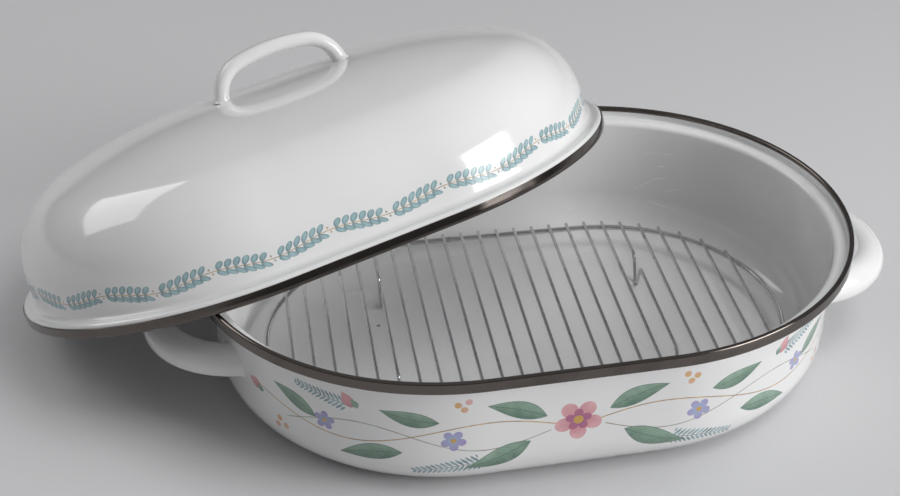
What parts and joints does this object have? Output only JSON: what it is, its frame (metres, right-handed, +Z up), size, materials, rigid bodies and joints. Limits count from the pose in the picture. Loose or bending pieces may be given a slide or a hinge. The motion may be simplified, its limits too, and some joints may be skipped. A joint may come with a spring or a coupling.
{
  "type": "covered roasting pan",
  "caption": "Oval enamelled roasting pan with steel-trimmed rims, curled side handles, a domed lid leaning on its rim and a wire rack standing inside.",
  "frame": {"origin": "centre of the pan's flat base, on the surface that it stands on", "axes": "+X along the pan towards its right handle, +Y across the pan to the side where the lid leans, +Z up"},
  "size_m": [0.5641, 0.4094, 0.1797],
  "materials": {
    "pan_enamel": "glossy white vitreous enamel on pressed steel, with a painted flower garland round the outside",
    "pan_trim_steel": "polished stainless strip folded over the edge",
    "pan_handle_enamel": "glossy white vitreous enamel on curled steel strap",
    "lid_enamel": "glossy white vitreous enamel on pressed steel, with a painted leaf garland round the outside",
    "lid_trim_steel": "polished stainless strip folded over the edge",
    "lid_handle_enamel": "glossy white vitreous enamel on a bent steel bar",
    "rack_rim_chrome": "bright chromed wire",
    "rack_wire_chrome": "bright chromed wire"
  },
  "bodies": {
    "root": {"pan_body": "pan_enamel", "pan_rim_trim": "pan_trim_steel", "pan_handle_left": "pan_handle_enamel", "pan_handle_right": "pan_handle_enamel", "lid_shell": "lid_enamel", "lid_rim_trim": "lid_trim_steel", "lid_handle": "lid_handle_enamel", "rack_rim": "rack_rim_chrome", "rack_wire_01": "rack_wire_chrome", "rack_wire_02": "rack_wire_chrome", "rack_wire_03": "rack_wire_chrome", "rack_wire_04": "rack_wire_chrome", "rack_wire_05": "rack_wire_chrome", "rack_wire_06": "rack_wire_chrome", "rack_wire_07": "rack_wire_chrome", "rack_wire_08": "rack_wire_chrome", "rack_wire_09": "rack_wire_chrome", "rack_wire_10": "rack_wire_chrome", "rack_wire_11": "rack_wire_chrome", "rack_wire_12": "rack_wire_chrome", "rack_wire_13": "rack_wire_chrome", "rack_wire_14": "rack_wire_chrome", "rack_wire_15": "rack_wire_chrome", "rack_wire_16": "rack_wire_chrome", "rack_wire_17": "rack_wire_chrome", "rack_wire_18": "rack_wire_chrome", "rack_wire_19": "rack_wire_chrome", "rack_wire_20": "rack_wire_chrome", "rack_wire_21": "rack_wire_chrome", "rack_wire_22": "rack_wire_chrome", "rack_wire_23": "rack_wire_chrome", "rack_wire_24": "rack_wire_chrome", "rack_wire_25": "rack_wire_chrome"}
  },
  "joints": []
}
